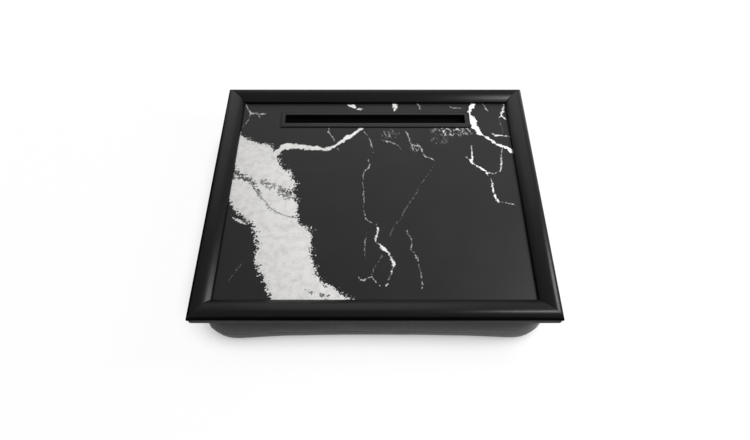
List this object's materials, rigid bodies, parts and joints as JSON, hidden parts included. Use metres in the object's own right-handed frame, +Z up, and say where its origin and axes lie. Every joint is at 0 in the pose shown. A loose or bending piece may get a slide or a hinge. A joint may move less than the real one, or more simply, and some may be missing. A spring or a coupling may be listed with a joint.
{
  "type": "lap tray",
  "caption": "Flat framed lap tray with a tablet slot on a soft bead-filled cushion; the tray pulls off its hook-and-loop tapes and the cushion cover has a zip.",
  "frame": {"origin": "on the floor under the middle of the tray, at the foot of its bounding box", "axes": "+X across the width to the right, +Y from the front to the back, where the slot and the zip are, +Z up"},
  "size_m": [0.44, 0.39, 0.0786],
  "materials": {
    "black_foil": "satin",
    "dark_board_edge": "satin",
    "black_marble_laminate": "satin",
    "black_plastic": "satin",
    "zinc_steel": "satin",
    "black_hook_tape": "matte",
    "black_loop_tape": "matte",
    "charcoal_cloth": "matte",
    "white_liner": "matte",
    "white_beads": "matte",
    "black_zip_tape": "matte",
    "gunmetal": "satin"
  },
  "bodies": {
    "cushion": {"loop_tape_front": "black_loop_tape", "loop_tape_back": "black_loop_tape", "loop_tape_left": "black_loop_tape", "loop_tape_right": "black_loop_tape", "cover_top_cloth": "charcoal_cloth", "cover_bottom_cloth": "charcoal_cloth", "bead_bag_upper": "white_liner", "bead_bag_lower": "white_liner", "bead_filling": "white_beads", "zip_tape_upper": "black_zip_tape", "zip_tape_lower": "black_zip_tape", "zip_chain": "black_plastic", "zip_stop_left": "gunmetal", "zip_stop_right": "gunmetal"},
    "tray": {"base_board": "dark_board_edge", "marble_laminate": "black_marble_laminate", "slot_insert": "black_plastic", "frame_rail_front": "black_foil", "frame_rail_back": "black_foil", "frame_rail_left": "black_foil", "frame_rail_right": "black_foil", "board_screw_front_left": "zinc_steel", "board_screw_front_middle": "zinc_steel", "board_screw_front_right": "zinc_steel", "board_screw_back_left": "zinc_steel", "board_screw_back_middle": "zinc_steel", "board_screw_back_right": "zinc_steel", "board_screw_left_front": "zinc_steel", "board_screw_left_rear": "zinc_steel", "board_screw_right_front": "zinc_steel", "board_screw_right_rear": "zinc_steel", "mitre_nail_front_left": "zinc_steel", "mitre_nail_front_right": "zinc_steel", "mitre_nail_back_right": "zinc_steel", "mitre_nail_back_left": "zinc_steel", "hook_tape_front": "black_hook_tape", "hook_tape_back": "black_hook_tape", "hook_tape_left": "black_hook_tape", "hook_tape_right": "black_hook_tape"},
    "slider": {"zip_slider": "gunmetal"},
    "pull": {"zip_pull": "gunmetal"}
  },
  "joints": [
    {"name": "tray_lift", "type": "slide", "parent": "cushion", "child": "tray", "axis": [0, 0, 1], "range_m": [0, 0.12]},
    {"name": "slider_travel", "type": "slide", "parent": "cushion", "child": "slider", "axis": [1, 0, 0], "range_m": [0, 0.231]},
    {"name": "pull_swing", "type": "hinge", "parent": "slider", "child": "pull", "pos_m": [-0.1155, 0.19181, 0.0245], "axis": [0, 0, 1], "range_deg": [0, 180]}
  ]
}
